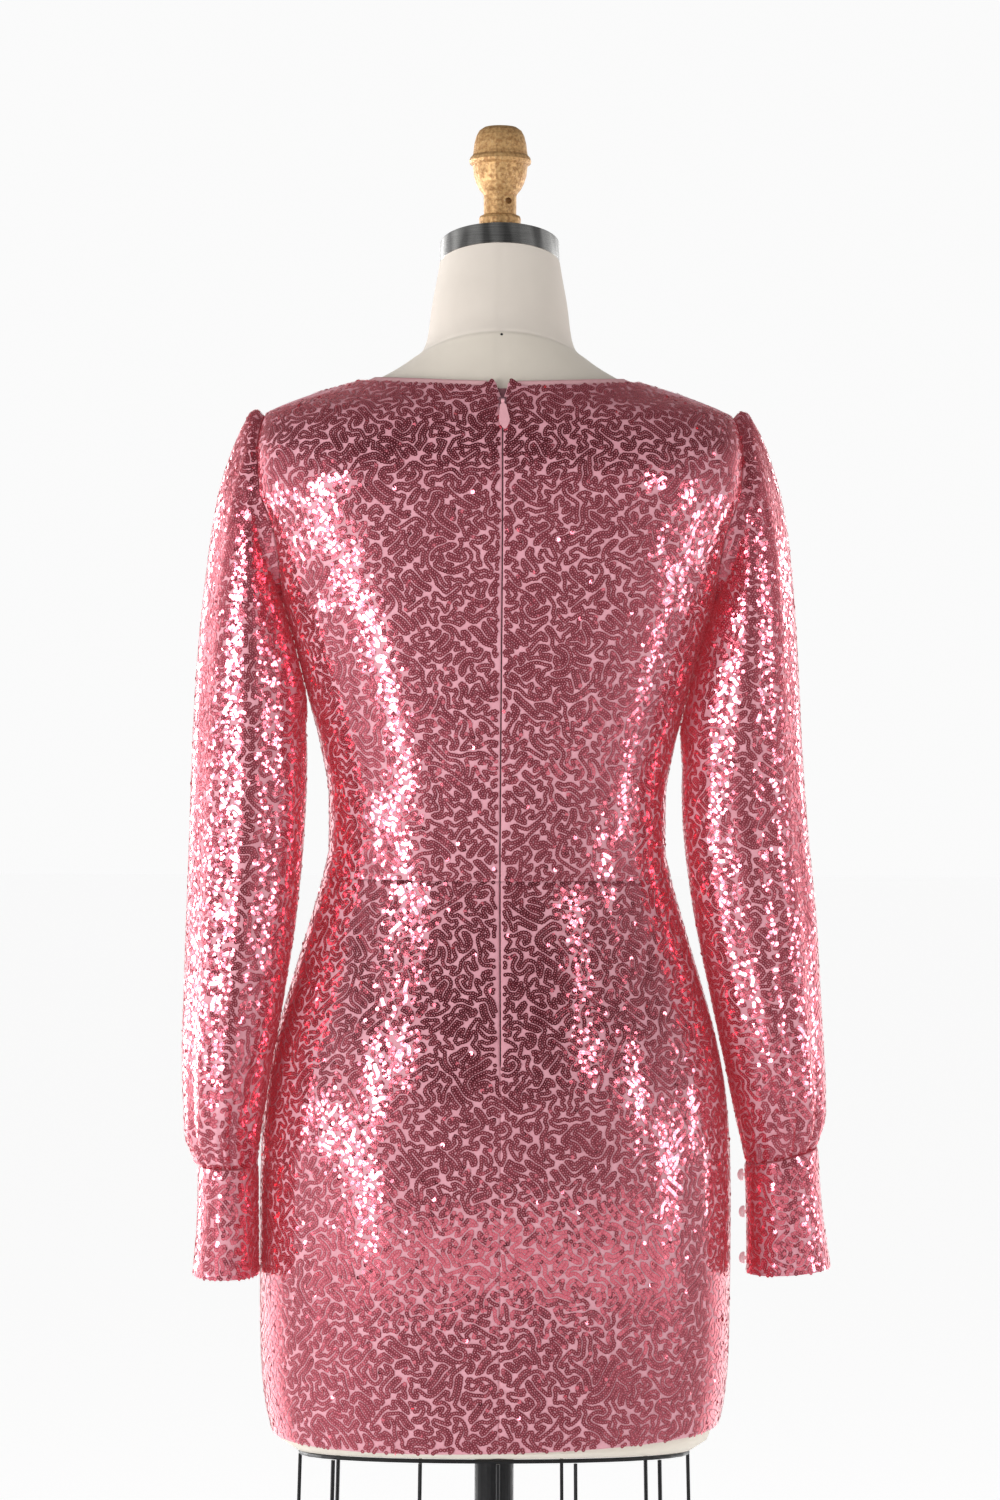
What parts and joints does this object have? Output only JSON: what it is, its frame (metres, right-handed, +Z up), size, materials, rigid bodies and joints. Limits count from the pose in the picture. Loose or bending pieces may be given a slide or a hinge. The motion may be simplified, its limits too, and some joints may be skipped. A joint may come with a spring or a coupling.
{
  "type": "cocktail dress on a dress form",
  "caption": "Fitted long-sleeved mini cocktail dress in pink sequins with a centre-back zip and buttoned cuffs, on a limbless canvas dress form with a wire cage and a round-based stand.",
  "frame": {"origin": "centre of the base's flat underside, on the form's axis", "axes": "+Z up, the dress's front faces -Y, the wearer's left is at +X"},
  "size_m": [0.483, 0.4, 1.6073],
  "materials": {
    "sequins": "pink mesh covered in small glossy sequins",
    "facing": "plain matte pink lining cloth",
    "zip": "pink enamel, satin",
    "pearl": "pearly pale pink",
    "canvas": "off-white canvas, matte",
    "steel": "brushed round its edge",
    "bronze": "mottled gold-tan paint",
    "black_metal": "black satin paint"
  },
  "bodies": {
    "form_and_dress": {"bodice_back_left": "sequins", "bodice_back_right": "sequins", "bodice_front": "sequins", "button_left_1": "pearl", "button_left_2": "pearl", "button_left_3": "pearl", "button_right_1": "pearl", "button_right_2": "pearl", "button_right_3": "pearl", "cage_foot_ring": "black_metal", "cage_top_ring": "black_metal", "cage_wire_01": "black_metal", "cage_wire_02": "black_metal", "cage_wire_03": "black_metal", "cage_wire_04": "black_metal", "cage_wire_05": "black_metal", "cage_wire_06": "black_metal", "cage_wire_07": "black_metal", "cage_wire_08": "black_metal", "cage_wire_09": "black_metal", "cage_wire_10": "black_metal", "cage_wire_11": "black_metal", "cage_wire_12": "black_metal", "cuff_left": "sequins", "cuff_right": "sequins", "form_finial": "bronze", "form_neck_cap": "steel", "form_torso": "canvas", "neck_facing_back_left": "facing", "neck_facing_back_right": "facing", "neck_facing_front": "facing", "skirt_back_left": "sequins", "skirt_back_right": "sequins", "skirt_front": "sequins", "sleeve_left": "sequins", "sleeve_right": "sequins", "stand_base": "black_metal", "stand_pole": "black_metal", "zip_slider": "zip", "zip_tape": "facing"},
    "zip_pull_tab": {"zip_pull": "zip"}
  },
  "joints": [
    {"name": "zip_pull_hinge", "type": "hinge", "parent": "form_and_dress", "child": "zip_pull_tab", "pos_m": [0, 0.09706, 1.39278], "axis": [1, 0, 0], "range_deg": [0, 150]}
  ]
}
